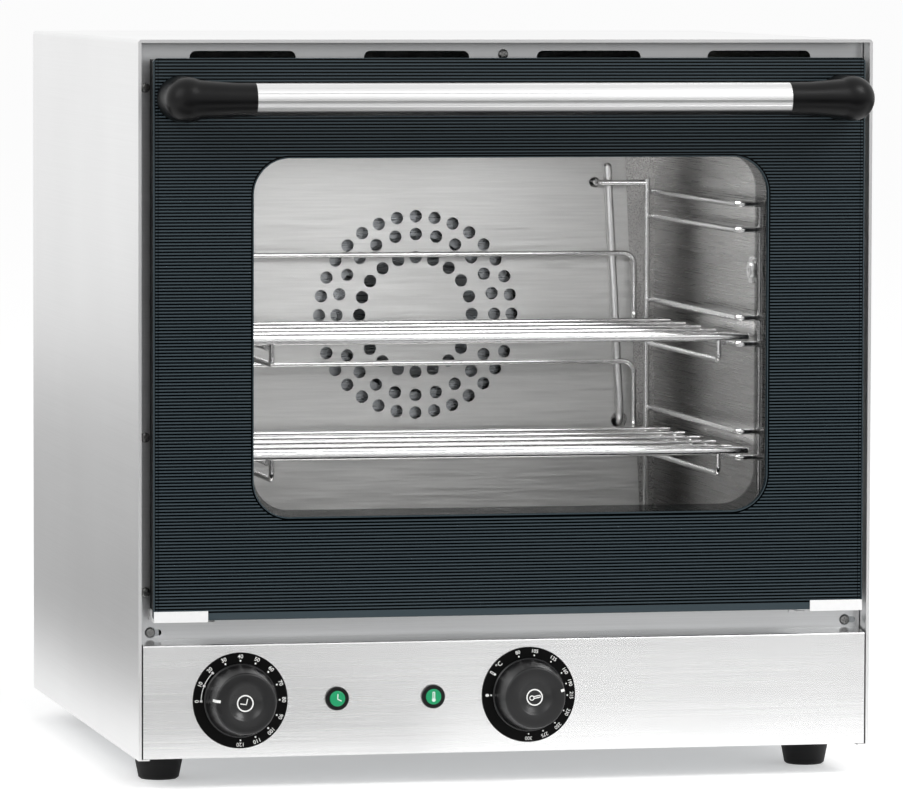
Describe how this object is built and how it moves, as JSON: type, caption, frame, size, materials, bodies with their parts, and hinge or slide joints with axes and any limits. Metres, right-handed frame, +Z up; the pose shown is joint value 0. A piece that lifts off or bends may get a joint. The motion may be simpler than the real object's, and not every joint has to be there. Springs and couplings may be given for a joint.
{
  "type": "countertop convection oven",
  "caption": "Countertop convection oven: steel casing on rubber feet, drop-down glass door with a bar handle, control strip with knobs and lamps, fan chamber with wire racks and shelves.",
  "frame": {"origin": "on the surface that the feet stand on, in the middle of the overall width and depth", "axes": "+X to the right seen from the front, +Y to the back, +Z up; the door faces -Y"},
  "size_m": [0.595, 0.627, 0.591],
  "materials": {
    "casing_steel": "finely brushed stainless sheet",
    "frame_steel": "satin stainless sheet",
    "panel_steel": "finely brushed stainless sheet",
    "galvanised_steel": "galvanised sheet",
    "chamber_steel": "bright stainless sheet, brushed",
    "bright_wire": "bright plated wire",
    "bright_fittings": "bright plated",
    "zinc_fasteners": "zinc plated",
    "knob_plastic": "moulded, satin black",
    "dial_plate": "printed, satin black",
    "lamp_plastic": "moulded black",
    "lamp_lens": "clear green",
    "switch_housing": "moulded cream",
    "printed_glass": "clear, with a black printed border",
    "inner_glass": "clear, with a tinted border",
    "door_rail_steel": "matte black",
    "gasket_silicone": "matte dark grey",
    "handle_aluminium": "satin anodised",
    "cap_plastic": "moulded, semi-gloss black",
    "foot_rubber": "matte black",
    "gland_plastic": "moulded black",
    "fan_steel": "stainless sheet",
    "cooler_aluminium": "pressed",
    "motor_paint": "laminated core, dark",
    "heater_sheath": "heat-darkened sheath",
    "mineral_wool": "soft, pale"
  },
  "bodies": {
    "housing": {"outer_casing": "casing_steel", "front_frame": "frame_steel", "hinge_ears": "frame_steel", "control_panel": "panel_steel", "base_tray": "galvanised_steel", "front_posts": "galvanised_steel", "top_cleat": "galvanised_steel", "partition": "galvanised_steel", "rear_panel": "galvanised_steel", "motor_mount": "galvanised_steel", "cavity_liner": "chamber_steel", "chamber_floor": "chamber_steel", "fan_baffle": "chamber_steel", "baffle_spacers": "chamber_steel", "steam_outlet": "chamber_steel", "side_rack_left": "bright_wire", "side_rack_right": "bright_wire", "rack_nuts": "bright_fittings", "temperature_bulb": "bright_fittings", "frame_screws": "zinc_fasteners", "rear_screws": "zinc_fasteners", "baffle_screws": "zinc_fasteners", "foot_bolts": "zinc_fasteners", "timer_dial": "dial_plate", "thermostat_dial": "dial_plate", "lamp_bezels": "lamp_plastic", "lamp_nuts": "lamp_plastic", "lamp_lenses": "lamp_lens", "timer_body": "switch_housing", "thermostat_body": "switch_housing", "terminal_block": "switch_housing", "door_gasket": "gasket_silicone", "feet": "foot_rubber", "cable_gland": "gland_plastic", "gland_nut": "gland_plastic", "fan_motor": "motor_paint", "ring_heater": "heater_sheath", "insulation": "mineral_wool"},
    "door": {"outer_glass": "printed_glass", "inner_glass": "inner_glass", "door_side_rails": "door_rail_steel", "door_cross_rails": "door_rail_steel", "hinge_bracket_left": "bright_fittings", "hinge_bracket_right": "bright_fittings", "hinge_pins": "bright_fittings", "handle_bar": "handle_aluminium", "handle_cap_left": "cap_plastic", "handle_cap_right": "cap_plastic", "handle_screws": "zinc_fasteners", "handle_washers": "zinc_fasteners"},
    "timer_knob": {"timer_knob": "knob_plastic", "timer_spindle": "zinc_fasteners"},
    "thermostat_knob": {"thermostat_knob": "knob_plastic", "thermostat_spindle": "zinc_fasteners"},
    "fan": {"fan_wheel": "fan_steel", "fan_shaft": "zinc_fasteners", "fan_nut": "zinc_fasteners", "cooling_wheel": "cooler_aluminium"},
    "shelf_upper": {"shelf_upper": "bright_wire"},
    "shelf_lower": {"shelf_lower": "bright_wire"}
  },
  "joints": [
    {"name": "door_hinge", "type": "hinge", "parent": "housing", "child": "door", "pos_m": [0, -0.246, 0.1384], "axis": [1, 0, 0], "range_deg": [0, 90]},
    {"name": "timer_knob_turn", "type": "hinge", "parent": "housing", "child": "timer_knob", "pos_m": [-0.2163, -0.2487, 0.0705], "axis": [0, 1, 0], "range_deg": [0, 270]},
    {"name": "thermostat_knob_turn", "type": "hinge", "parent": "housing", "child": "thermostat_knob", "pos_m": [0.0168, -0.2487, 0.0705], "axis": [0, 1, 0], "range_deg": [-166, 104]},
    {"name": "fan_spin", "type": "hinge", "parent": "housing", "child": "fan", "pos_m": [0, 0.1, 0.354], "axis": [0, 1, 0], "continuous": true},
    {"name": "shelf_upper_slide", "type": "slide", "parent": "housing", "child": "shelf_upper", "axis": [0, -1, 0], "range_m": [0, 0.022]},
    {"name": "shelf_lower_slide", "type": "slide", "parent": "housing", "child": "shelf_lower", "axis": [0, -1, 0], "range_m": [0, 0.022]}
  ]
}
